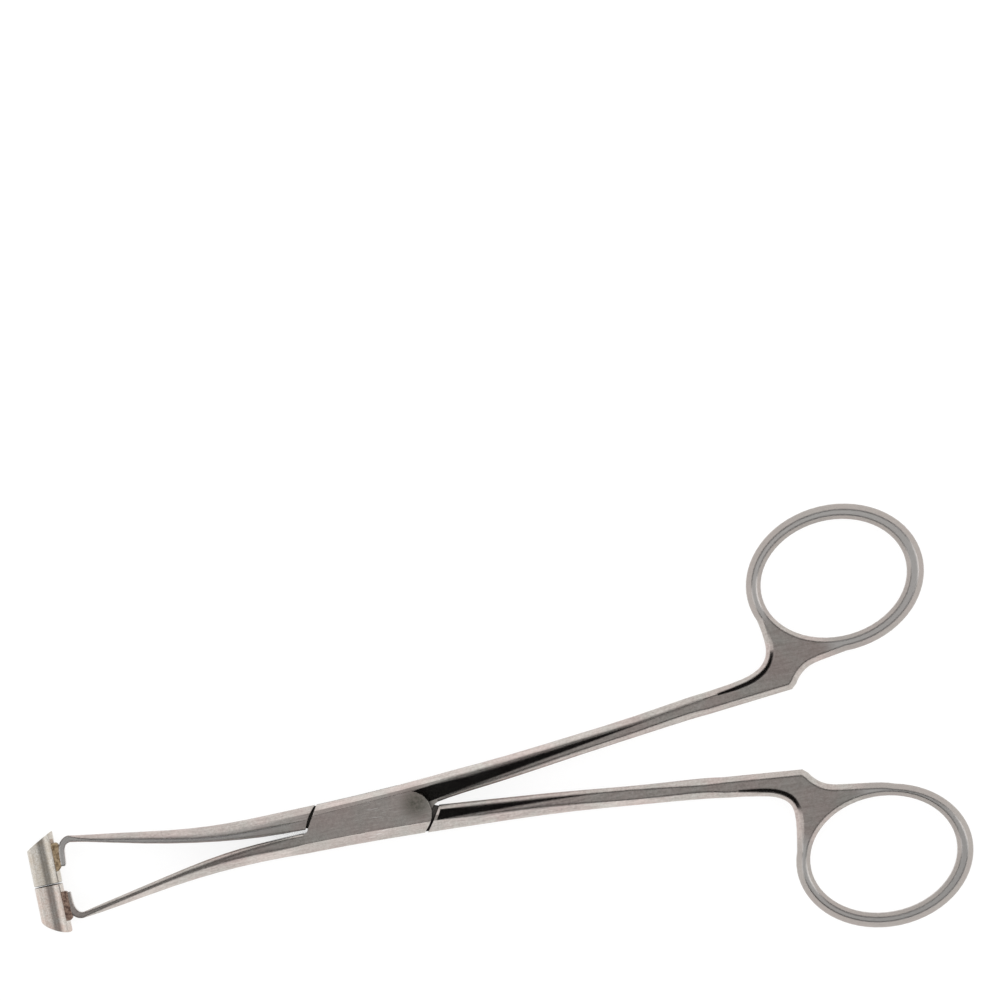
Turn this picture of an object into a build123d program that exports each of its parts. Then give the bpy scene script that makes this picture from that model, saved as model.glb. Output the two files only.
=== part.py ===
"""Ring-handled piercing forceps with a box lock and two slanted guide tubes.

Millimetres. The pivot axis is +Z through the origin, +X runs from the tubes
towards the finger rings, +Y towards the upper ring. The underside of the box
lock lies at z = 0 and the instrument is closed.
"""

import os
from math import cos, radians, sin, sqrt, tan

from build123d import *

os.makedirs("parts", exist_ok=True)

# box lock
box_thickness = 5.2
box_half = box_thickness / 2
mid_height = box_half
box_edge_half = 1.1
box_left = -12.3
box_right = 12.0
tongue_thickness = 1.4
tongue_side_clearance = 0.05
slot_thickness = tongue_thickness + 2 * tongue_side_clearance
slot_end_clearance = 0.3
lock_gap = 0.35

# pivot pin, ground flush with both box faces
pin_radius = 1.5
pin_clearance = 0.05

# guide tubes
tube_x = -58.25
tube_radius = 2.55
tube_bore_radius = 2.1
tube_gap = 0.2
tube_end_break = 0.1
tube_parting_y = -0.08
upper_mouth_y = 7.8
upper_mouth_slant = 28.5
upper_mouth_turn = 5.0
lower_mouth_y = 7.35
lower_mouth_slant = 31.5
lower_mouth_turn = 36.0

# bent tabs that carry the tubes
tab_gap = 0.2
tab_thickness = 0.84
tab_half_width = 1.5
tab_edge_half = tab_half_width - 0.16
tab_x = tube_x + tube_radius + tab_gap
bend_reach = 2.5
tip_start = tab_x + bend_reach
upper_tip_inner = 6.58
upper_tip_outer = upper_tip_inner + 1.2
lower_tip_inner = 5.94
lower_tip_outer = lower_tip_inner + 1.02

# braze fillets between the tabs and the tubes
braze_half_at_tab = 1.45
braze_half_at_tube = 1.75

# finger rings and handle plates
ring_half_thickness = 1.6
edge_bevel = 1.0
hole_bevel = 0.75
bevel_rise = 0.84
root_facet_width = 0.5
root_facet_slope = 20.0
edge_half = ring_half_thickness - bevel_rise * edge_bevel
hole_half_length = 13.1
hole_half_width = 10.27
upper_ring_x = 88.46
upper_ring_y = 24.57
upper_ring_tilt = 3.2
upper_band_at_ends = 2.78
upper_band_at_sides = 2.66
lower_ring_x = 87.16
lower_ring_y = 24.87
lower_ring_tilt = 1.0
lower_band_at_ends = 2.62
lower_band_at_sides = 2.29
upper_spur_drop = 4.69
lower_spur_drop = 5.01

# start of the handle plates, where the shanks end
handle_start = 62.0
upper_shank_inner = 5.60
upper_shank_width = 3.89
lower_shank_inner = 5.78
lower_shank_width = 3.69


def section_plane(x):
    """Upright plane across the instrument, with its origin at mid thickness."""
    return Plane(origin=(x, 0, mid_height), x_dir=(0, 1, 0), z_dir=(1, 0, 0))


def faceted_bar(stations):
    """Forged bar with ground facets, the same above and below mid thickness.

    Each station is a distance along the bar and the upper outline there, from
    the outer edge to the inner edge, as (y, height above mid thickness).
    """
    with BuildPart() as bar:
        for x, outline in stations:
            with BuildSketch(section_plane(x)):
                with BuildLine():
                    Polyline(
                        *outline,
                        *[(y, -height) for y, height in reversed(outline)],
                        close=True,
                    )
                make_face()
        loft()
    return bar.part


def slab(points, low, high):
    """Plate with a straight-sided plan outline between two heights."""
    with BuildPart() as plate:
        with BuildSketch(Plane.XY.offset(low)):
            with BuildLine():
                Polyline(*points, close=True)
            make_face()
        extrude(amount=high - low)
    return plate.part


def handle_edges(inner, width):
    """Bevelled section of a shank where its handle plate starts."""
    outer = inner + width
    return [
        (outer, edge_half),
        (outer - edge_bevel, ring_half_thickness),
        (inner + edge_bevel, ring_half_thickness),
        (inner, edge_half),
    ]


# jaws, from the lock to the bend at the tip
lower_jaw_stations = [
    (box_left, [(-3.95, box_edge_half), (-2.20, box_half), (-0.80, box_half), (-0.32, box_half - 0.38)]),
    (-20.0, [(-3.77, 0.85), (-2.25, box_half - 0.20), (-1.00, box_half - 0.20), (-0.50, box_half - 0.59)]),
    (-28.0, [(-4.00, 0.75), (-2.45, box_half - 0.45), (-1.85, box_half - 0.45), (-1.16, box_half - 0.99)]),
    (-36.0, [(-4.72, 0.72), (-3.48, box_half - 0.70), (-3.10, box_half - 0.70), (-2.52, box_half - 1.15)]),
    (-44.0, [(-5.82, 0.80), (-4.95, box_half - 0.94), (-4.58, box_half - 0.94), (-4.12, box_half - 1.30)]),
    (
        tip_start,
        [
            (-lower_tip_outer, tab_edge_half),
            (-lower_tip_outer + 0.16, tab_half_width),
            (-lower_tip_inner - 0.16, tab_half_width),
            (-lower_tip_inner, tab_edge_half),
        ],
    ),
]
upper_jaw_stations = [
    (
        -7.0,
        [
            (4.22, box_edge_half),
            (3.15, box_half - 0.50),
            (2.35, box_half),
            (0.30, box_half),
            (0.15, box_half - 0.15),
        ],
    ),
    (
        -13.0,
        [
            (4.12, 0.90),
            (2.95, box_half - 0.70),
            (1.90, box_half - 0.05),
            (0.42, box_half - 0.05),
            (0.27, box_half - 0.20),
        ],
    ),
    (
        -20.0,
        [
            (4.06, 0.75),
            (2.85, box_half - 0.83),
            (1.90, box_half - 0.20),
            (0.72, box_half - 0.20),
            (0.57, box_half - 0.35),
        ],
    ),
    (
        -28.0,
        [
            (4.27, 0.65),
            (3.05, box_half - 0.95),
            (2.30, box_half - 0.45),
            (1.60, box_half - 0.45),
            (1.45, box_half - 0.60),
        ],
    ),
    (
        -36.0,
        [
            (5.12, 0.70),
            (4.17, box_half - 1.10),
            (3.62, box_half - 0.73),
            (2.94, box_half - 0.73),
            (2.80, box_half - 0.88),
        ],
    ),
    (
        -44.0,
        [
            (6.36, 0.75),
            (5.62, box_half - 1.20),
            (5.22, box_half - 0.94),
            (4.70, box_half - 0.94),
            (4.56, box_half - 1.10),
        ],
    ),
    (
        tip_start,
        [
            (upper_tip_outer, tab_edge_half),
            (upper_tip_outer - 0.06, tab_half_width - 0.06),
            (upper_tip_outer - 0.16, tab_half_width),
            (upper_tip_inner + 0.16, tab_half_width),
            (upper_tip_inner, tab_edge_half),
        ],
    ),
]

# shanks, from the lock to the start of the handle plate
upper_start = handle_edges(upper_shank_inner, upper_shank_width)
upper_shank_stations = [
    (
        box_right,
        [
            (4.92, box_edge_half),
            (3.98, box_half - 0.36),
            (3.42, box_half),
            (1.88, box_half),
            (0.28, box_half - 1.28),
        ],
    ),
    (
        16.0,
        [
            (5.18, 1.08),
            (4.28, box_half - 0.46),
            (3.72, box_half - 0.10),
            (2.40, box_half - 0.10),
            (0.82, box_half - 1.36),
        ],
    ),
    (
        22.0,
        [
            (5.52, 1.02),
            (4.66, box_half - 0.57),
            (4.24, box_half - 0.29),
            (2.84, box_half - 0.29),
            (1.38, box_half - 1.46),
        ],
    ),
    (30.0, [(6.13, 0.92), (5.30, 1.89), (4.92, 2.14), (3.63, 2.14), (2.23, 1.02)]),
    (40.0, [(7.02, 0.78), (6.20, 1.66), (5.80, 1.92), (4.60, 1.92), (3.40, 0.96)]),
    (50.0, [(8.06, 0.64), (7.15, 1.45), (6.75, 1.70), (5.51, 1.70), (4.46, 0.86)]),
    (
        handle_start,
        [
            upper_start[0],
            (upper_start[0][0] - 0.66 * edge_bevel, edge_half + 0.7 * bevel_rise * edge_bevel),
            *upper_start[1:],
        ],
    ),
]
lower_shank_stations = [
    (7.0, [(-4.58, box_edge_half), (-2.60, box_half), (-1.60, box_half), (-0.05, box_half - 1.25)]),
    (13.0, [(-4.85, 1.05), (-2.92, box_half - 0.08), (-2.07, box_half - 0.08), (-0.36, box_half - 1.45)]),
    (20.0, [(-5.24, 0.92), (-3.48, box_half - 0.30), (-2.50, box_half - 0.30), (-1.06, box_half - 1.45)]),
    (30.0, [(-5.86, 0.75), (-4.35, 2.00), (-3.16, 2.00), (-2.07, 1.13)]),
    (40.0, [(-6.77, 0.65), (-5.60, 1.80), (-4.00, 1.80), (-3.25, 1.20)]),
    (50.0, [(-7.89, 0.60), (-6.80, 1.68), (-5.25, 1.68), (-4.42, 1.02)]),
    (handle_start, [(-y, height) for y, height in handle_edges(lower_shank_inner, lower_shank_width)]),
]


def long_facet(start, end, inner, drop, outline):
    """Long facet ground into the inner side of a shank, down to the handle's web.

    start and end are points of its upper boundary (height above mid thickness
    last), inner is the sign of Y towards the inner edge, drop is its fall per
    millimetre of width, and outline is the plan region that it is ground in.
    """
    run = (end[0] - start[0], end[1] - start[1], end[2] - start[2])
    reach = 6.0
    lead = 0.8
    with BuildPart() as wedge:
        with BuildSketch(
            Plane(
                origin=(start[0], start[1], mid_height + start[2]),
                x_dir=(-run[1], run[0], 0),
                z_dir=run,
            )
        ):
            with BuildLine():
                Polyline(
                    (-inner * lead, lead * drop),
                    (inner * reach, -reach * drop),
                    (inner * reach, 2.0),
                    (-inner * lead, 2.0),
                    close=True,
                )
            make_face()
        extrude(amount=sqrt(run[0] ** 2 + run[1] ** 2 + run[2] ** 2))
        add(
            slab(outline, mid_height + ring_half_thickness, box_thickness + 2),
            mode=Mode.INTERSECT,
        )
        mirror(about=Plane.XY.offset(mid_height))
    return wedge.part


def root_facet(root):
    """Shallow facet beside the bevel of a root, fading out at both of its ends.

    It is the space above the facet, cut off at two heights.
    """
    lean = 1 / tan(radians(root_facet_slope))
    with BuildPart() as cut:
        for height in (ring_half_thickness - 0.35, ring_half_thickness + 0.25):
            edge = []
            for share in (0.1, 0.25, 0.4, 0.55, 0.7, 0.85, 1.0):
                fade = sin(radians(180 * share)) ** 0.5
                along = root % share
                depth = edge_bevel + root_facet_width * fade - 0.05
                depth = depth + (height - ring_half_thickness) * lean
                point = root @ share
                edge.append((point.X + along.Y * depth, point.Y - along.X * depth))
            with BuildSketch(Plane.XY.offset(mid_height + height)):
                with BuildLine():
                    side = Spline(*edge)
                    Polyline(
                        side @ 1,
                        (edge[-1][0] - 6.0, edge[-1][1] + 1.0),
                        (edge[0][0] - 1.0, edge[0][1] + 6.0),
                        side @ 0,
                    )
                make_face()
        loft(ruled=True)
        mirror(about=Plane.XY.offset(mid_height))
    return cut.part


def handle_plate(centre, tilt, bands, shift, shank, spur_drop, root_points):
    """Finger ring, web and pointed spur of one arm, for a ring above the axis.

    bands are the ring's widths at its ends and sides, shift moves the ring's
    outside against its hole, shank is the inner and outer edge of the shank
    where the plate starts, and root_points lead the outer edge up the root,
    measured from the left end and the lowest point of the ring.
    """
    ring_x, ring_y = centre
    half_length = hole_half_length + bands[0]
    half_width = hole_half_width + bands[1]
    ring_left = ring_x - half_length
    ring_low = ring_y - half_width
    spur_x = ring_left + 4.7
    spur_y = ring_low - spur_drop
    with BuildPart() as plate:
        with BuildSketch(Plane.XY.offset(mid_height - ring_half_thickness)):
            with Locations((ring_x + shift[0], ring_y + shift[1])):
                Ellipse(half_length, half_width, rotation=tilt)
            with BuildLine():
                root = Spline(
                    (handle_start, shank[1]),
                    *[(ring_left + x, ring_low + y) for x, y in root_points],
                    tangents=((1, 0.12), (-0.19, 1)),
                )
                inside = Polyline(
                    root @ 1,
                    (ring_x, ring_y),
                    (ring_x + 6.6, ring_low + 2.0),
                )
                step = Spline(
                    inside @ 1,
                    (spur_x + 14.5, spur_y + 5.45),
                    (spur_x + 10.5, spur_y + 4.65),
                    (spur_x + 6.6, spur_y + 4.05),
                    (spur_x + 3.7, spur_y + 3.35),
                    (spur_x + 1.9, spur_y + 2.1),
                    (spur_x + 0.95, spur_y + 0.85),
                )
                tip = Line(step @ 1, (spur_x, spur_y))
                edge = Line(tip @ 1, (handle_start, shank[0]))
                Line(edge @ 1, root @ 0)
            make_face()
            with Locations(centre):
                Ellipse(hole_half_length, hole_half_width, rotation=tilt, mode=Mode.SUBTRACT)
        extrude(amount=2 * ring_half_thickness)
        for side in (0, -1):
            flat = plate.faces().filter_by(Axis.Z).sort_by(Axis.Z)[side]
            rims = flat.outer_wire().edges()
            start_rim = rims.filter_by_position(Axis.X, handle_start, handle_start)
            chamfer(
                [rim for rim in rims if rim not in start_rim],
                length=edge_bevel,
                length2=bevel_rise * edge_bevel,
                reference=flat,
            )
            flat = plate.faces().filter_by(Axis.Z).sort_by(Axis.Z)[side]
            chamfer(
                flat.inner_wires()[0].edges(),
                length=hole_bevel,
                length2=bevel_rise * hole_bevel,
                reference=flat,
            )
        add(root_facet(root), mode=Mode.SUBTRACT)
    return plate.part


def guide_tube(face_y, mouth_y, slant, turn):
    """Tube with a square inner end and a slanted, slightly turned mouth."""
    side = 1 if mouth_y > face_y else -1
    lean = tan(radians(slant))
    with BuildPart() as tube:
        with BuildSketch(
            Plane(origin=(tube_x, face_y, mid_height), x_dir=(1, 0, 0), z_dir=(0, side, 0))
        ):
            Circle(tube_radius)
            Circle(tube_bore_radius, mode=Mode.SUBTRACT)
        extrude(amount=abs(mouth_y - face_y) + 2 * tube_radius)
        square_end = tube.faces().filter_by(Axis.Y).sort_by(Axis.Y)[0 if side > 0 else -1]
        chamfer(square_end.outer_wire().edges(), length=tube_end_break)
        split(
            bisect_by=Plane(
                origin=(tube_x, mouth_y, mid_height),
                z_dir=(-lean * cos(radians(turn)), side, -lean * sin(radians(turn))),
            ),
            keep=Keep.BOTTOM,
        )
    return tube.part


def bent_tab(outside, end, inside):
    """Flat strip at the jaw tip, bent back to lie along its tube."""
    with BuildPart() as tab:
        with BuildSketch(Plane.XY.offset(mid_height - tab_half_width)):
            with BuildLine():
                back = Spline(*outside)
                foot = Line(back @ 1, end)
                front = Spline(foot @ 1, *inside)
                Line(front @ 1, back @ 0)
            make_face()
        extrude(amount=2 * tab_half_width)
    return tab.part


def braze_fillet(outline, tab):
    """Filler metal that wets the back of a tab and the side of its tube."""
    low = min(point[1] for point in outline) - 1
    high = max(point[1] for point in outline) + 1
    near = max(point[0] for point in outline)
    far = min(point[0] for point in outline)
    with BuildPart() as fillet_metal:
        with BuildSketch(Plane.XY):
            with BuildLine():
                Spline(*outline, periodic=True)
            make_face()
        extrude(amount=box_thickness)
        with BuildSketch(
            Plane(origin=(0, low, mid_height), x_dir=(1, 0, 0), z_dir=(0, 1, 0))
        ):
            with BuildLine():
                Polyline(
                    (near, braze_half_at_tab),
                    (far, braze_half_at_tube),
                    (far, -braze_half_at_tube),
                    (near, -braze_half_at_tab),
                    close=True,
                )
            make_face()
        extrude(amount=high - low, mode=Mode.INTERSECT)
        with Locations(Location((tube_x, 0, mid_height), (90, 0, 0))):
            Cylinder(tube_radius, 40, mode=Mode.SUBTRACT)
        add(tab, mode=Mode.SUBTRACT)
    return fillet_metal.part


upper_face_y = tube_parting_y + tube_gap / 2
lower_face_y = tube_parting_y - tube_gap / 2
upper_tube = guide_tube(upper_face_y, upper_mouth_y, upper_mouth_slant, upper_mouth_turn)
lower_tube = guide_tube(lower_face_y, -lower_mouth_y, lower_mouth_slant, lower_mouth_turn)

upper_tab_outside = [
    (tip_start, upper_tip_outer),
    (tab_x + 1.80, upper_tip_outer - 0.09),
    (tab_x + 1.15, upper_tip_outer - 0.50),
    (tab_x + 0.55, upper_tip_outer - 1.30),
    (tab_x + 0.30, upper_tip_outer - 2.15),
    (tab_x, upper_tip_outer - 5.05),
]
upper_tab_end = (tab_x + tab_thickness, upper_tip_outer - 5.15)
upper_tab_inside = [
    (tab_x + tab_thickness + 0.46, upper_tip_inner - 1.28),
    (tab_x + tab_thickness + 0.81, upper_tip_inner - 0.43),
    (tip_start, upper_tip_inner),
]
lower_tab_outside = [
    (tip_start, -lower_tip_outer),
    (tab_x + 1.70, 0.02 - lower_tip_outer),
    (tab_x + 0.90, 0.36 - lower_tip_outer),
    (tab_x + 0.35, 1.01 - lower_tip_outer),
    (tab_x + 0.08, 1.96 - lower_tip_outer),
    (tab_x, 4.96 - lower_tip_outer),
]
lower_tab_end = (tab_x + tab_thickness, 4.98 - lower_tip_outer)
lower_tab_inside = [
    (tab_x + tab_thickness + 0.11, 1.94 - lower_tip_inner),
    (tab_x + tab_thickness + 0.36, 0.89 - lower_tip_inner),
    (tab_x + tab_thickness + 0.81, 0.24 - lower_tip_inner),
    (tip_start, -lower_tip_inner),
]
upper_braze_outline = [
    (tab_x + 0.40, 6.6),
    (tab_x - 0.20, 7.0),
    (tab_x - 0.90, 6.7),
    (tab_x - 1.25, 5.4),
    (tab_x - 1.15, 3.2),
    (tab_x - 0.60, 2.0),
    (tab_x + 0.10, 2.6),
    (tab_x + 0.50, 4.6),
]
lower_braze_outline = [
    (tab_x + 0.40, -6.3),
    (tab_x - 0.20, -6.9),
    (tab_x - 0.90, -6.7),
    (tab_x - 1.20, -5.4),
    (tab_x - 1.15, -3.0),
    (tab_x - 0.70, -1.8),
    (tab_x, -1.75),
    (tab_x + 0.60, -2.6),
    (tab_x + 0.50, -4.4),
]
upper_tab = bent_tab(upper_tab_outside, upper_tab_end, upper_tab_inside)
lower_tab = bent_tab(lower_tab_outside, lower_tab_end, lower_tab_inside)
upper_braze = braze_fillet(upper_braze_outline, upper_tab)
lower_braze = braze_fillet(lower_braze_outline, lower_tab)

# box of the lock: two cheeks with bevelled sides
box_slab = faceted_bar(
    [
        (
            box_left,
            [
                (4.10, box_edge_half),
                (3.10, box_half - 0.55),
                (2.25, box_half),
                (-2.20, box_half),
                (-3.95, box_edge_half),
            ],
        ),
        (
            0.0,
            [
                (4.32, box_edge_half),
                (3.42, box_half - 0.42),
                (2.77, box_half),
                (-2.38, box_half),
                (-4.22, box_edge_half),
            ],
        ),
        (
            box_right,
            [
                (4.92, box_edge_half),
                (3.98, box_half - 0.36),
                (3.42, box_half),
                (-2.85, box_half),
                (-4.78, box_edge_half),
            ],
        ),
    ]
)
seam_foot = (box_left + 0.88, 0.22)
seam_top = (box_left + 3.08, 3.85)
nose_end = (box_right - 3.15, -4.4)
with BuildPart() as cheek_region:
    with BuildSketch():
        with BuildLine():
            left = Polyline((box_left, -7.0), (box_left, -0.40))
            crotch = ThreePointArc(left @ 1, (box_left + 0.58, -0.22), seam_foot)
            seam = Polyline(
                crotch @ 1,
                seam_top,
                (seam_top[0] + 1.6, 6.5),
                (box_right, 6.5),
                (box_right, 0.28),
            )
            throat = ThreePointArc(seam @ 1, (box_right - 0.52, 0.02), (box_right - 1.0, -0.40))
            nose = Spline(
                throat @ 1,
                (box_right - 1.34, -1.0),
                (box_right - 1.58, -2.1),
                (box_right - 2.2, -3.25),
                nose_end,
            )
            Polyline(nose @ 1, (nose_end[0] - 1.8, -7.0), left @ 0)
        make_face()
    extrude(amount=box_thickness)

# tongue of the other arm, which passes through the slot between the cheeks
tongue_outline = [
    (box_left - 0.5, 3.98),
    (4.6, 3.98),
    (5.3, 3.7),
    (box_right - 0.9, -0.05),
    (box_right + 0.8, -0.75),
    (box_right + 0.8, -4.6),
    (-4.6, -3.85),
    (-5.3, -3.6),
    (box_left + 1.2, 0.25),
    (box_left - 0.5, 0.8),
]
slot_mouth_x = 5.6
slot_far = box_right + 4.0
with BuildPart() as slot:
    with BuildSketch(Plane.XY.offset(mid_height - slot_thickness / 2)):
        with BuildLine():
            Polyline(*tongue_outline, close=True)
        make_face()
        offset(amount=slot_end_clearance)
        with BuildLine():
            Polyline((-slot_far, 1.4), (-slot_far, 8.0), (slot_mouth_x, 8.0), (slot_mouth_x, 3.0), close=True)
        make_face()
        with BuildLine():
            Polyline((slot_far, -1.4), (slot_far, -8.0), (-slot_mouth_x, -8.0), (-slot_mouth_x, -3.0), close=True)
        make_face()
    extrude(amount=slot_thickness)

upper_root_points = [(-4.58, -1.39), (-1.53, -0.59), (0.47, 0.71), (1.47, 2.46), (1.62, 4.86), (1.07, 8.56)]
upper_handle = handle_plate(
    (upper_ring_x, upper_ring_y),
    upper_ring_tilt,
    (upper_band_at_ends, upper_band_at_sides),
    (0.2, 0.0),
    (upper_shank_inner, upper_shank_inner + upper_shank_width),
    upper_spur_drop,
    upper_root_points,
)
lower_root_points = [(-3.44, -1.86), (-0.44, -0.96), (1.41, 0.64), (1.81, 2.74), (1.61, 4.84), (0.76, 9.46)]
with BuildPart() as lower_handle:
    add(
        handle_plate(
            (lower_ring_x, lower_ring_y),
            lower_ring_tilt,
            (lower_band_at_ends, lower_band_at_sides),
            (0.13, 0.28),
            (lower_shank_inner, lower_shank_inner + lower_shank_width),
            lower_spur_drop,
            lower_root_points,
        )
    )
    mirror(about=Plane.XZ, mode=Mode.REPLACE)

upper_facet_outline = [
    (box_right - 1.05, -1.5),
    (box_right - 1.40, -0.6),
    (box_right - 1.65, 0.8),
    (box_right - 2.30, 1.9),
    (box_right - 3.40, 2.75),
    (box_right - 5.00, 3.3),
    (box_right - 5.00, 12.0),
    (handle_start, 12.0),
    (handle_start, -1.5),
]
upper_facet = long_facet(
    (box_right - 4.4, 2.98, box_half),
    (handle_start, 7.75, box_half - 1.2),
    -1,
    0.364,
    upper_facet_outline,
)
lower_facet_outline = [
    (box_right - 1.10, -3.4),
    (box_right - 0.70, -2.6),
    (box_right - 0.10, -1.6),
    (box_right + 0.35, -0.8),
    (box_right + 0.60, 1.0),
    (handle_start, 1.0),
    (handle_start, -8.0),
    (box_right - 1.10, -8.0),
]
lower_facet = long_facet(
    (box_right - 1.1, -2.86, box_half - 0.05),
    (box_right + 32.0, -4.20, box_half - 0.90),
    1,
    0.40,
    lower_facet_outline,
)

with BuildPart() as box_arm:
    add(box_slab)
    add(cheek_region.part, mode=Mode.INTERSECT)
    add(faceted_bar(lower_jaw_stations))
    add(lower_tab)
    add(faceted_bar(upper_shank_stations))
    add(upper_handle)
    add(slot.part, mode=Mode.SUBTRACT)
    add(upper_facet, mode=Mode.SUBTRACT)
    with Locations((0, 0, mid_height)):
        Cylinder(pin_radius, 2 * box_thickness, mode=Mode.SUBTRACT)

with BuildPart() as tongue_arm:
    add(faceted_bar(upper_jaw_stations))
    add(faceted_bar(lower_shank_stations))
    add(lower_facet, mode=Mode.SUBTRACT)
    with BuildSketch(Plane.XY.offset(-box_half)):
        with BuildLine():
            above = Polyline(
                (box_right + 0.6, 0.8),
                (box_right, 7.0),
                (seam_top[0] + 1.2, 7.0),
                (seam_top[0] - 0.16, seam_top[1] + 0.25),
            )
            jaw_shoulder = ThreePointArc(
                above @ 1,
                ((seam_top[0] + seam_foot[0]) / 2 - 1.8 * lock_gap, 2.15),
                (seam_foot[0] - lock_gap, 0.30),
            )
            below = Polyline(
                jaw_shoulder @ 1,
                (box_left - 0.3, -0.8),
                (box_left + 0.3, -7.0),
                (nose_end[0] - 0.65, -7.0),
                (nose_end[0] + 0.43, nose_end[1] - 0.2),
            )
            shank_shoulder = ThreePointArc(
                below @ 1,
                (box_right - 1.40 + lock_gap, -2.3),
                (box_right - 0.40 + lock_gap, -0.62),
            )
            Line(shank_shoulder @ 1, above @ 0)
        make_face()
    extrude(amount=2 * box_thickness, mode=Mode.SUBTRACT)
    with BuildSketch(Plane.XY.offset(mid_height - tongue_thickness / 2)):
        with BuildLine():
            Polyline(*tongue_outline, close=True)
        make_face()
    extrude(amount=tongue_thickness)
    add(upper_tab)
    add(lower_handle.part)
    with Locations((0, 0, mid_height)):
        Cylinder(pin_radius + pin_clearance, box_thickness, mode=Mode.SUBTRACT)

with BuildPart() as pivot_pin:
    with BuildSketch():
        Circle(pin_radius)
    extrude(amount=box_thickness)

pieces = {
    "box_arm": box_arm.part,
    "tongue_arm": tongue_arm.part,
    "pivot_pin": pivot_pin.part,
    "upper_guide_tube": upper_tube,
    "lower_guide_tube": lower_tube,
    "upper_braze": upper_braze,
    "lower_braze": lower_braze,
}
for name, piece in pieces.items():
    piece.label = name
    export_step(piece, f"parts/{name}.step")
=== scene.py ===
"""Ring-handled piercing forceps, closed and lying flat, seen from straight above."""

import math

import bpy
from mathutils import Matrix, Vector

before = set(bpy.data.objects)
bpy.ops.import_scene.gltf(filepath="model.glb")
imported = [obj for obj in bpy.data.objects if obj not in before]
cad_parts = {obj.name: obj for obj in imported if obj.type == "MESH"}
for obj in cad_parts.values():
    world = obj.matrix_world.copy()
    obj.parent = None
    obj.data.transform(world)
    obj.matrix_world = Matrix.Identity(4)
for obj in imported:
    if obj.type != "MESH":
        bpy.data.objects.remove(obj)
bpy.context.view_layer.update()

MM = 0.001

# places on the forceps, in millimetres from the pin as seen from above
PIN = (0.0, 0.0)
MIDDLE_OF_BOX = (0.6, -0.4)
RIGHT_END_OF_BOX = (8.2, 0.9)
TUBE_PARTING_Y = -0.08
# the finger rings, each with the web that joins it to its shank, and its tilt in degrees
UPPER_RING = {
    "centre_mm": (88.5, 24.6),
    "web_mm": (77.4, 12.2),
    "half_length_mm": 15.9,
    "half_width_mm": 13.1,
    "tilt": 3.2,
}
LOWER_RING = {
    "centre_mm": (87.3, -24.9),
    "web_mm": (77.4, -12.2),
    "half_length_mm": 15.7,
    "half_width_mm": 12.9,
    "tilt": -1.0,
}


def marks(size_mm):
    """Noise scale for marks of this size, in object space measured in metres."""
    return 1 / (size_mm * MM)


def srgb(hex_colour):
    """Linear colour from the sRGB hex value a maker would pick from a swatch."""
    parts = [int(hex_colour[i : i + 2], 16) / 255 for i in (1, 3, 5)]
    linear = [c / 12.92 if c <= 0.04045 else ((c + 0.055) / 1.055) ** 2.4 for c in parts]
    return (*linear, 1.0)


def grey(share):
    """Linear grey, from 0 for black to 1 for white."""
    return (share, share, share, 1.0)


def new_material(name):
    material = bpy.data.materials.new(name)
    material.use_nodes = True
    material.node_tree.nodes.clear()
    return material


def add_node(material, kind, settings=None, stops=None, **links):
    """Adds one node with its settings, ramp stops and inputs.

    An input is a plain value or another node's socket; i0, i1 name an input by its place.
    """
    node = material.node_tree.nodes.new(kind)
    for key, value in (settings or {}).items():
        setattr(node, key, value)
    for number, (place, colour) in enumerate(stops or ()):
        elements = node.color_ramp.elements
        element = elements[number] if number < len(elements) else elements.new(1.0)
        element.position = place
        element.color = colour
    for key, value in links.items():
        by_place = key[0] == "i" and key[1:].isdigit()
        socket = node.inputs[int(key[1:]) if by_place else key.replace("_", " ")]
        if isinstance(value, bpy.types.NodeSocket):
            material.node_tree.links.new(value, socket)
        else:
            socket.default_value = value
    return node


def give(material, *node_names):
    """Puts the material on these pieces in place of the plain one they came with."""
    for name in node_names:
        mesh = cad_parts[name]
        mesh.data.materials.clear()
        mesh.data.materials.append(material)


def from_above(material, place):
    """The place with its height taken out."""
    return add_node(
        material,
        "ShaderNodeVectorMath",
        {"operation": "MULTIPLY"},
        i0=place.outputs["Object"],
        i1=(1.0, 1.0, 0.0),
    ).outputs["Vector"]


def distance_from(material, place, centre_mm):
    """Distance in metres, seen from above, from a point given in millimetres."""
    return add_node(
        material,
        "ShaderNodeVectorMath",
        {"operation": "DISTANCE"},
        i0=from_above(material, place),
        i1=(centre_mm[0] * MM, centre_mm[1] * MM, 0.0),
    ).outputs["Value"]


def wear_and_painted_light_spot(material, place, centre_mm, inner_mm, outer_mm):
    """Round spot that places wear and painted light: 1 inside the inner radius, falling to 0 at
    the outer one.
    """
    return add_node(
        material,
        "ShaderNodeMapRange",
        {"interpolation_type": "SMOOTHSTEP"},
        Value=distance_from(material, place, centre_mm),
        From_Min=inner_mm * MM,
        From_Max=outer_mm * MM,
        To_Min=1.0,
        To_Max=0.0,
    ).outputs["Result"]


def light_reaching(material, reach_mm, none_below, all_above, most=1.0):
    """Share of light that comes past whatever is within reach: 0 in a seam, most in the open."""
    openness = add_node(
        material,
        "ShaderNodeAmbientOcclusion",
        {"samples": 6},
        Distance=reach_mm * MM,
    )
    return add_node(
        material,
        "ShaderNodeMapRange",
        Value=openness.outputs["AO"],
        From_Min=none_below,
        From_Max=all_above,
        To_Min=0.0,
        To_Max=most,
    ).outputs["Result"]


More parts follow.
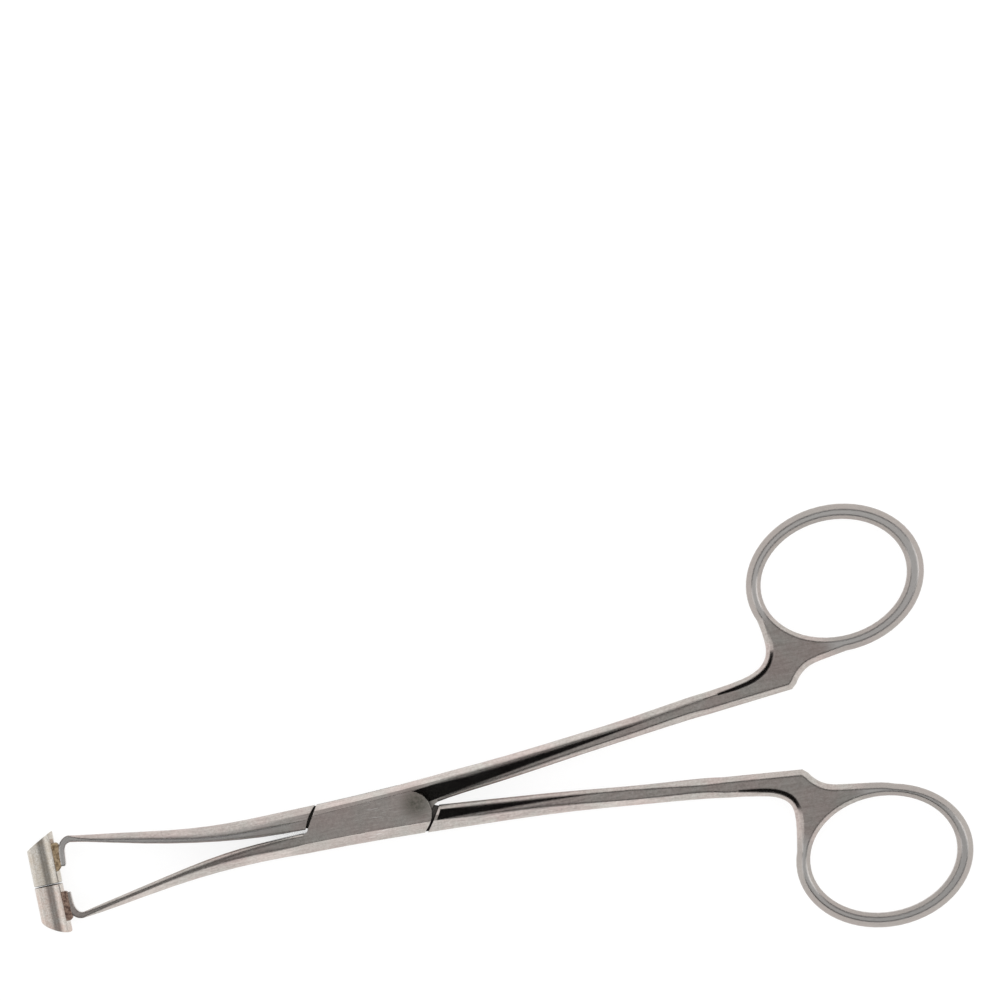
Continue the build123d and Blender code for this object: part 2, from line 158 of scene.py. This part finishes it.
def ring_band(material, place, centre_mm, web_mm, half_length_mm, half_width_mm, tilt):
    """Share of a finger ring's band: 1 on the ring, 0 outside it and on its web."""
    squared_up = add_node(
        material,
        "ShaderNodeMapping",
        {"vector_type": "TEXTURE"},
        Vector=place.outputs["Object"],
        Location=(centre_mm[0] * MM, centre_mm[1] * MM, 0.0),
        Rotation=(0.0, 0.0, math.radians(tilt)),
        Scale=(half_length_mm * MM, half_width_mm * MM, 1.0),
    )
    # 1 at the ring's outer edge
    way_out = add_node(
        material,
        "ShaderNodeVectorMath",
        {"operation": "LENGTH"},
        i0=squared_up.outputs["Vector"],
    )
    inside = add_node(
        material,
        "ShaderNodeMapRange",
        Value=way_out.outputs["Value"],
        From_Min=1.0,
        From_Max=1.05,
        To_Min=1.0,
        To_Max=0.0,
    )
    off_web = add_node(
        material,
        "ShaderNodeMath",
        {"operation": "SUBTRACT"},
        i0=1.0,
        i1=wear_and_painted_light_spot(material, place, web_mm, inner_mm=6.0, outer_mm=10.0),
    )
    return add_node(
        material,
        "ShaderNodeMath",
        {"operation": "MULTIPLY"},
        i0=inside.outputs["Result"],
        i1=off_web.outputs[0],
    ).outputs[0]


def rounded_ridges(material, from_pin):
    """Surface direction of an arm whose ridges the buffing wheel has rounded."""
    # millimetres from the pin and the radius there: none at the flush pin, little at the
    # lock's seams, most where jaws and shanks leave the box, and less on to the rings
    rounding = [(2.3, 0.0), (3, 0.14), (12, 0.14), (18, 0.8), (30, 0.8), (42, 0.45)]
    reach_mm = 100
    way_along = add_node(
        material,
        "ShaderNodeMath",
        {"operation": "MULTIPLY"},
        i0=from_pin,
        i1=1 / (reach_mm * MM),
    )
    radius_mm = add_node(
        material,
        "ShaderNodeValToRGB",
        stops=[(away / reach_mm, grey(radius)) for away, radius in rounding],
        Fac=way_along.outputs[0],
    )
    radius = add_node(
        material,
        "ShaderNodeMath",
        {"operation": "MULTIPLY"},
        i0=radius_mm.outputs["Color"],
        i1=MM,
    )
    return add_node(
        material,
        "ShaderNodeBevel",
        {"samples": 6},
        Radius=radius.outputs[0],
    ).outputs["Normal"]


def flat_share(material, surface_direction):
    """1 on a face that lies level, 0 on a bevel."""
    facing = add_node(material, "ShaderNodeSeparateXYZ", Vector=surface_direction)
    level = add_node(
        material,
        "ShaderNodeMath",
        {"operation": "ABSOLUTE"},
        i0=facing.outputs["Z"],
    )
    return add_node(
        material,
        "ShaderNodeMapRange",
        Value=level.outputs[0],
        From_Min=0.8,
        From_Max=0.98,
        To_Min=0.0,
        To_Max=1.0,
    ).outputs["Result"]


def ring_painted_light(material, place, steel_colour, flat):
    """Painted light on the rings: a painted highlight on their flats and painted shade on their
    bevels.
    """
    ring_facet_tones = add_node(
        material,
        "ShaderNodeMixRGB",
        Fac=flat,
        Color1=srgb("#B7B0AB"),
        Color2=srgb("#FFFCF9"),
    )
    rings = add_node(
        material,
        "ShaderNodeMath",
        {"operation": "ADD"},
        i0=ring_band(material, place, **UPPER_RING),
        i1=ring_band(material, place, **LOWER_RING),
    )
    strength = add_node(
        material,
        "ShaderNodeMath",
        {"operation": "MULTIPLY"},
        i0=rings.outputs[0],
        i1=0.75,
    )
    return add_node(
        material,
        "ShaderNodeMixRGB",
        Fac=strength.outputs[0],
        Color1=steel_colour,
        Color2=ring_facet_tones.outputs["Color"],
    ).outputs["Color"]


def upper_jaw_painted_highlight(material, place, steel_colour, flat):
    """Painted highlight: the flat of the upper jaw is painted brighter than the lower one's."""
    parts = add_node(material, "ShaderNodeSeparateXYZ", Vector=place.outputs["Object"])
    on_upper_side = add_node(
        material,
        "ShaderNodeMapRange",
        Value=parts.outputs["Y"],
        From_Min=0.5 * MM,
        From_Max=2.0 * MM,
        To_Min=0.0,
        To_Max=0.8,
    )
    left_of_box = add_node(
        material,
        "ShaderNodeMapRange",
        Value=parts.outputs["X"],
        From_Min=-22 * MM,
        From_Max=-10 * MM,
        To_Min=1.0,
        To_Max=0.0,
    )
    upper_jaw = add_node(
        material,
        "ShaderNodeMath",
        {"operation": "MULTIPLY"},
        i0=on_upper_side.outputs["Result"],
        i1=left_of_box.outputs["Result"],
    )
    upper_jaw_flat = add_node(
        material,
        "ShaderNodeMath",
        {"operation": "MULTIPLY"},
        i0=upper_jaw.outputs[0],
        i1=flat,
    )
    return add_node(
        material,
        "ShaderNodeMixRGB",
        Fac=upper_jaw_flat.outputs[0],
        Color1=steel_colour,
        Color2=srgb("#FBF8F5"),
    ).outputs["Color"]


def box_dish_painted_shade(material, place, steel_colour, speckle):
    """Painted shade, dull greenish and uneven with the speckle, at the right end of the box, for
    the darker reflection of its dished face.
    """
    strength = add_node(
        material,
        "ShaderNodeMapRange",
        Value=speckle,
        From_Min=0.35,
        From_Max=0.65,
        To_Min=0.55,
        To_Max=0.95,
    )
    dish_shade = add_node(
        material,
        "ShaderNodeMath",
        {"operation": "MULTIPLY"},
        i0=wear_and_painted_light_spot(material, place, RIGHT_END_OF_BOX, inner_mm=0.5, outer_mm=3.9),
        i1=strength.outputs["Result"],
    )
    return add_node(
        material,
        "ShaderNodeMixRGB",
        Fac=dish_shade.outputs[0],
        Color1=steel_colour,
        Color2=srgb("#76756A"),
    ).outputs["Color"]


def box_scratches(material, place, steel_colour):
    """Faint handling scratches, about 3 mm long and slanted, across the middle of the box."""
    slanted = add_node(
        material,
        "ShaderNodeMapping",
        Vector=place.outputs["Object"],
        Rotation=(0.0, 0.0, math.radians(-22)),
        Scale=(marks(3.3), marks(0.4), 1.0),
    )
    lines = add_node(
        material,
        "ShaderNodeTexNoise",
        Vector=slanted.outputs["Vector"],
        Scale=1.0,
        Detail=2.0,
        Roughness=0.7,
    )
    strength = add_node(
        material,
        "ShaderNodeMapRange",
        Value=lines.outputs["Fac"],
        From_Min=0.58,
        From_Max=0.66,
        To_Min=0.0,
        To_Max=0.8,
    )
    scratches = add_node(
        material,
        "ShaderNodeMath",
        {"operation": "MULTIPLY"},
        i0=wear_and_painted_light_spot(material, place, MIDDLE_OF_BOX, inner_mm=1.5, outer_mm=5.0),
        i1=strength.outputs["Result"],
    )
    return add_node(
        material,
        "ShaderNodeMixRGB",
        Fac=scratches.outputs[0],
        Color1=steel_colour,
        Color2=srgb("#F7F4F1"),
    ).outputs["Color"]


def satin_steel():
    """Forged surgical stainless steel, ground in facets and satin polished.

    The buffing wheel leaves fine lengthwise grain with a faint speckle of pores,
    patches that are a shade pinker or greener, and ridges rounded by the wheel.
    """
    material = new_material("satin_polished_surgical_steel")
    place = add_node(material, "ShaderNodeTexCoord")
    # buffing grain, about 0.4 mm apart and drawn out ten times along the arms, coarser
    # than the wheel's own so that it shows
    along = add_node(
        material,
        "ShaderNodeMapping",
        Vector=place.outputs["Object"],
        Scale=(marks(4), marks(0.4), marks(0.4)),
    )
    grain = add_node(
        material,
        "ShaderNodeTexNoise",
        Vector=along.outputs["Vector"],
        Scale=1.0,
        Detail=3.0,
        Roughness=0.6,
    )
    # speckle of about 0.5 mm, coarser than the real pores so that it shows
    speckle = add_node(
        material,
        "ShaderNodeTexNoise",
        Vector=place.outputs["Object"],
        Scale=marks(0.5),
        Detail=2.0,
        Roughness=0.7,
    )
    half_speckle = add_node(
        material,
        "ShaderNodeMath",
        {"operation": "MULTIPLY"},
        i0=speckle.outputs["Fac"],
        i1=0.5,
    )
    # grain and speckle in equal shares
    fine_marks = add_node(
        material,
        "ShaderNodeMath",
        {"operation": "MULTIPLY_ADD"},
        i0=grain.outputs["Fac"],
        i1=0.5,
        i2=half_speckle.outputs[0],
    )
    tone = add_node(
        material,
        "ShaderNodeValToRGB",
        stops=[(0.36, srgb("#BFB9B5")), (0.5, srgb("#CDC8C4")), (0.64, srgb("#D9D5D1"))],
        Fac=fine_marks.outputs[0],
    )
    # slow changes of polish over about 6 mm, from pinkish to greenish grey
    cloud = add_node(
        material,
        "ShaderNodeTexNoise",
        Vector=place.outputs["Object"],
        Scale=marks(6),
        Detail=3.0,
        Roughness=0.55,
    )
    tint = add_node(
        material,
        "ShaderNodeValToRGB",
        stops=[(0.35, srgb("#FFF4F2")), (0.65, srgb("#FBFBF8"))],
        Fac=cloud.outputs["Fac"],
    )
    tinted = add_node(
        material,
        "ShaderNodeMixRGB",
        {"blend_type": "MULTIPLY"},
        Fac=1.0,
        Color1=tone.outputs["Color"],
        Color2=tint.outputs["Color"],
    )
    from_pin = distance_from(material, place, PIN)
    rounded = rounded_ridges(material, from_pin)
    flat = flat_share(material, rounded)
    # painted highlight on the flats of the rings and painted shade on their bevels
    colour = ring_painted_light(material, place, tinted.outputs["Color"], flat)
    # painted highlight on the flat of the upper jaw
    colour = upper_jaw_painted_highlight(material, place, colour, flat)
    # painted shade for the dished right end of the box
    colour = box_dish_painted_shade(material, place, colour, speckle.outputs["Fac"])
    colour = box_scratches(material, place, colour)
    # painted shade: seams and crevices hold no light, so their colour is darkened towards near
    # black
    shaded = add_node(
        material,
        "ShaderNodeMixRGB",
        Fac=light_reaching(material, reach_mm=1.2, none_below=0.42, all_above=0.85),
        Color1=srgb("#141210"),
        Color2=colour,
    )
    # the buffed arms are smoother in some patches, and handling leaves the rings satin
    buffing = add_node(
        material,
        "ShaderNodeMapRange",
        Value=cloud.outputs["Fac"],
        From_Min=0.3,
        From_Max=0.7,
        To_Min=0.11,
        To_Max=0.17,
    )
    ring_satin = add_node(
        material,
        "ShaderNodeMapRange",
        Value=from_pin,
        From_Min=74 * MM,
        From_Max=86 * MM,
        To_Min=0.0,
        To_Max=0.1,
    )
    rough = add_node(
        material,
        "ShaderNodeMath",
        {"operation": "ADD"},
        i0=buffing.outputs["Result"],
        i1=ring_satin.outputs["Result"],
    )
    bump = add_node(
        material,
        "ShaderNodeBump",
        Strength=0.07,
        Distance=0.004 * MM,
        Height=fine_marks.outputs[0],
        Normal=rounded,
    )
    steel = add_node(
        material,
        "ShaderNodeBsdfPrincipled",
        Base_Color=shaded.outputs["Color"],
        Metallic=1.0,
        Roughness=rough.outputs[0],
        Normal=bump.outputs["Normal"],
    )
    add_node(material, "ShaderNodeOutputMaterial", Surface=steel.outputs["BSDF"])
    return material


def parting_painted_shade(material, place, tube_colour):
    """Painted shade where the two tubes meet, up to 0.2 mm from the parting plane, since the gap
    between them holds no light.
    """
    parts = add_node(material, "ShaderNodeSeparateXYZ", Vector=place.outputs["Object"])
    from_parting = add_node(
        material,
        "ShaderNodeMath",
        {"operation": "ADD"},
        i0=parts.outputs["Y"],
        i1=-TUBE_PARTING_Y * MM,
    )
    to_parting = add_node(
        material,
        "ShaderNodeMath",
        {"operation": "ABSOLUTE"},
        i0=from_parting.outputs[0],
    )
    unshaded_share = add_node(
        material,
        "ShaderNodeMapRange",
        Value=to_parting.outputs[0],
        From_Min=0.12 * MM,
        From_Max=0.22 * MM,
        To_Min=0.0,
        To_Max=1.0,
    )
    return add_node(
        material,
        "ShaderNodeMixRGB",
        Fac=unshaded_share.outputs["Result"],
        Color1=srgb("#2A2622"),
        Color2=tube_colour,
    ).outputs["Color"]


def tumbled_tube_steel(name, heat_tint):
    """Thin drawn stainless tube, tumbled to a bright but slightly grainy skin."""
    material = new_material(name)
    place = add_node(material, "ShaderNodeTexCoord")
    # draw lines running along the tube, about 0.3 mm apart, coarser than the die's own
    # so that they show
    along = add_node(
        material,
        "ShaderNodeMapping",
        Vector=place.outputs["Object"],
        Scale=(marks(0.3), marks(2.5), marks(0.3)),
    )
    draw_lines = add_node(
        material,
        "ShaderNodeTexNoise",
        Vector=along.outputs["Vector"],
        Scale=1.0,
        Detail=3.0,
        Roughness=0.6,
    )
    # grain of about 0.3 mm from tumbling
    grain = add_node(
        material,
        "ShaderNodeTexNoise",
        Vector=place.outputs["Object"],
        Scale=marks(0.3),
        Detail=3.0,
        Roughness=0.7,
    )
    tone = add_node(
        material,
        "ShaderNodeValToRGB",
        stops=[(0.38, srgb("#BEB9B1")), (0.5, srgb("#CFCBC4")), (0.62, srgb("#DDDAD4"))],
        Fac=grain.outputs["Fac"],
    )
    # heat tint that the brazing left in patches of about 2 mm
    patches = add_node(
        material,
        "ShaderNodeTexNoise",
        Vector=place.outputs["Object"],
        Scale=marks(2),
        Detail=3.0,
        Roughness=0.6,
    )
    tint_share = add_node(
        material,
        "ShaderNodeMapRange",
        Value=patches.outputs["Fac"],
        From_Min=0.35,
        From_Max=0.7,
        To_Min=0.1,
        To_Max=0.6,
    )
    tinted = add_node(
        material,
        "ShaderNodeMixRGB",
        Fac=tint_share.outputs["Result"],
        Color1=tone.outputs["Color"],
        Color2=srgb(heat_tint),
    )
    # painted shade: the bore holds no light, so its colour is darkened
    shaded = add_node(
        material,
        "ShaderNodeMixRGB",
        Fac=light_reaching(material, reach_mm=0.8, none_below=0.1, all_above=0.6),
        Color1=srgb("#1A1714"),
        # painted shade along the parting of the two tubes
        Color2=parting_painted_shade(material, place, tinted.outputs["Color"]),
    )
    bump = add_node(
        material,
        "ShaderNodeBump",
        Strength=0.1,
        Distance=0.004 * MM,
        Height=draw_lines.outputs["Fac"],
    )
    steel = add_node(
        material,
        "ShaderNodeBsdfPrincipled",
        Base_Color=shaded.outputs["Color"],
        Metallic=1.0,
        Roughness=0.16,
        Normal=bump.outputs["Normal"],
    )
    add_node(material, "ShaderNodeOutputMaterial", Surface=steel.outputs["BSDF"])
    return material


def brazing_metal(name, light, dark):
    """Filler metal left as it flowed, lumpy, with an oxide skin in uneven patches."""
    material = new_material(name)
    place = add_node(material, "ShaderNodeTexCoord")
    # patches of about 0.6 mm
    patches = add_node(
        material,
        "ShaderNodeTexNoise",
        Vector=place.outputs["Object"],
        Scale=marks(0.6),
        Detail=4.0,
        Roughness=0.65,
    )
    tone = add_node(
        material,
        "ShaderNodeValToRGB",
        stops=[(0.4, srgb(dark)), (0.6, srgb(light))],
        Fac=patches.outputs["Fac"],
    )
    bump = add_node(
        material,
        "ShaderNodeBump",
        Strength=0.6,
        Distance=0.06 * MM,
        Height=patches.outputs["Fac"],
    )
    # half metal, because the oxide skin hides part of it
    metal = add_node(
        material,
        "ShaderNodeBsdfPrincipled",
        Base_Color=tone.outputs["Color"],
        Metallic=0.5,
        Roughness=0.48,
        Normal=bump.outputs["Normal"],
    )
    add_node(material, "ShaderNodeOutputMaterial", Surface=metal.outputs["BSDF"])
    return material


give(satin_steel(), "box_arm", "tongue_arm", "pivot_pin")
give(tumbled_tube_steel("straw_tinted_drawn_tube_steel", "#BDAE9B"), "upper_guide_tube")
give(tumbled_tube_steel("pink_tinted_drawn_tube_steel", "#CBADA0"), "lower_guide_tube")
give(brazing_metal("tan_silver_braze", "#BEA787", "#7A654B"), "upper_braze")
give(brazing_metal("heat_stained_copper_braze", "#AB9080", "#5D473D"), "lower_braze")


# the studio: pale floor, white surroundings, one soft lamp and a light tent
def floor_material():
    """White paper lit from below, with painted shadow only where the instrument lies on it."""
    material = new_material("pale_seamless_floor")
    paper = add_node(material, "ShaderNodeBsdfDiffuse", Color=grey(0.22))
    # painted shadow: the floor's glow fades out where the instrument lies close over it
    lit = light_reaching(material, reach_mm=1.5, none_below=0.03, all_above=0.15, most=0.84)
    glow = add_node(material, "ShaderNodeEmission", Color=grey(1.0), Strength=lit)
    both = add_node(material, "ShaderNodeAddShader", i0=paper.outputs[0], i1=glow.outputs[0])
    add_node(material, "ShaderNodeOutputMaterial", Surface=both.outputs["Shader"])
    return material


floor_size = 4.0
# just under the box, so that the two never share a plane
floor_height = -0.2 * MM
bpy.ops.mesh.primitive_plane_add(size=floor_size, location=(20 * MM, 0, floor_height))
floor = bpy.context.object
floor.name = "floor"
floor.data.materials.append(floor_material())

world = bpy.data.worlds.new("white_surroundings")
world.use_nodes = True
surroundings = world.node_tree.nodes["Background"]
surroundings.inputs["Color"].default_value = (1, 1, 1, 1)
surroundings.inputs["Strength"].default_value = 1.0
bpy.context.scene.world = world


def cloth_brightness(material, from_top, side, stops):
    """Brightness of the tent by the angle from straight up, towards one side or the other."""
    sign = add_node(material, "ShaderNodeMath", {"operation": "SIGN"}, i0=side)
    signed = add_node(
        material,
        "ShaderNodeMath",
        {"operation": "MULTIPLY"},
        i0=from_top,
        i1=sign.outputs[0],
    )
    # the ramp runs from level on one side, over the top, to level on the other
    share = add_node(
        material,
        "ShaderNodeMath",
        {"operation": "MULTIPLY_ADD"},
        i0=signed.outputs[0],
        i1=1 / math.pi,
        i2=0.5,
    )
    return add_node(
        material,
        "ShaderNodeValToRGB",
        stops=[(angle / 180 + 0.5, grey(brightness)) for angle, brightness in stops],
        Fac=share.outputs[0],
    ).outputs["Color"]


def tent_cloth():
    """White cloth lit unevenly from outside, with black flags beside the roof opening.

    Each list gives degrees from straight up and a brightness, across the arms and
    along them. The flags hang between 24 and 54 degrees, across the arms.
    """
    across = [
        (-90, 0.86),
        (-71, 0.86),
        (-66, 0.46),
        (-58, 0.40),
        (-54, 0.01),
        (-24, 0.004),
        (-18, 0.33),
        (0, 0.42),
        (18, 0.48),
        (24, 0.004),
        (54, 0.01),
        (58, 0.42),
        (66, 0.48),
        (71, 0.86),
        (90, 0.88),
    ]
    along = [
        (-90, 0.88),
        (-58, 0.88),
        (-45, 0.86),
        (-32, 0.76),
        (-20, 0.47),
        (-12, 0.31),
        (-5, 0.22),
        (2, 0.28),
        (6, 0.40),
        (9, 0.32),
        (12, 0.31),
        (16, 0.36),
        (22, 0.50),
        (30, 0.70),
        (38, 0.93),
        (54, 1.2),
        (71, 1.0),
        (90, 0.8),
    ]
    material = new_material("graded_tent_cloth")
    place = add_node(material, "ShaderNodeTexCoord")
    direction = add_node(
        material,
        "ShaderNodeVectorMath",
        {"operation": "NORMALIZE"},
        i0=place.outputs["Object"],
    )
    parts = add_node(material, "ShaderNodeSeparateXYZ", Vector=direction.outputs["Vector"])
    from_top = add_node(
        material,
        "ShaderNodeMath",
        {"operation": "ARCCOSINE"},
        i0=parts.outputs["Z"],
    )
    compass_way = add_node(
        material,
        "ShaderNodeVectorMath",
        {"operation": "NORMALIZE"},
        i0=from_above(material, place),
    )
    compass_parts = add_node(
        material,
        "ShaderNodeSeparateXYZ",
        Vector=compass_way.outputs["Vector"],
    )
    lengthwise = add_node(
        material,
        "ShaderNodeMath",
        {"operation": "ABSOLUTE"},
        i0=compass_parts.outputs["X"],
    )
    # the list along the arms holds to 10 degrees off their line and fades out by 18
    lengthwise_share = add_node(
        material,
        "ShaderNodeMapRange",
        Value=lengthwise.outputs[0],
        From_Min=0.95,
        From_Max=0.985,
        To_Min=0.0,
        To_Max=1.0,
    )
    cloth = add_node(
        material,
        "ShaderNodeMixRGB",
        Fac=lengthwise_share.outputs["Result"],
        Color1=cloth_brightness(material, from_top.outputs[0], parts.outputs["Y"], across),
        Color2=cloth_brightness(material, from_top.outputs[0], parts.outputs["X"], along),
    )
    glow = add_node(material, "ShaderNodeEmission", Color=cloth.outputs["Color"], Strength=1.0)
    add_node(material, "ShaderNodeOutputMaterial", Surface=glow.outputs["Emission"])
    return material


tent_radius = 0.6
bpy.ops.mesh.primitive_uv_sphere_add(segments=64, ring_count=32, radius=tent_radius)
tent = bpy.context.object
tent.name = "light_tent"
tent.data.materials.append(tent_cloth())
# the tent shows only in the metal
tent.visible_camera = False
tent.visible_diffuse = False
tent.visible_shadow = False

softbox_data = bpy.data.lights.new("overhead_softbox", "AREA")
softbox_data.shape = "SQUARE"
softbox_data.size = 0.6
softbox_data.energy = 0.5
softbox = bpy.data.objects.new("overhead_softbox", softbox_data)
softbox.location = (0.1, 0.35, 0.7)
softbox_target = Vector((30 * MM, 0, 0))
softbox.rotation_mode = "QUATERNION"
softbox.rotation_quaternion = (softbox_target - softbox.location).to_track_quat("-Z", "Y")
softbox.visible_glossy = False
bpy.context.collection.objects.link(softbox)

# the camera: long lens straight above, turned so that the rings lie to the right and the
# upper shank climbs as it does in the photo
turn = math.radians(11.8)
view_centre = Vector((33.71 * MM, 50.03 * MM, 2.6 * MM))
image_width_px = 1001
mm_per_px = 0.1765
view_width = image_width_px * mm_per_px * MM
distance = 1.6
sensor_width = 36.0
camera_data = bpy.data.cameras.new("long_lens")
camera_data.sensor_width = sensor_width
camera_data.lens = sensor_width * distance / view_width
camera_data.clip_start = 0.1
camera_data.clip_end = 20.0
camera = bpy.data.objects.new("camera_above", camera_data)
bpy.context.collection.objects.link(camera)
right = Vector((math.cos(turn), -math.sin(turn), 0))
up = Vector((math.sin(turn), math.cos(turn), 0))
basis = Matrix((right, up, Vector((0, 0, 1)))).transposed().to_4x4()
camera.matrix_world = Matrix.Translation(view_centre + Vector((0, 0, distance))) @ basis
bpy.context.scene.camera = camera

bpy.context.scene.view_settings.view_transform = "Standard"
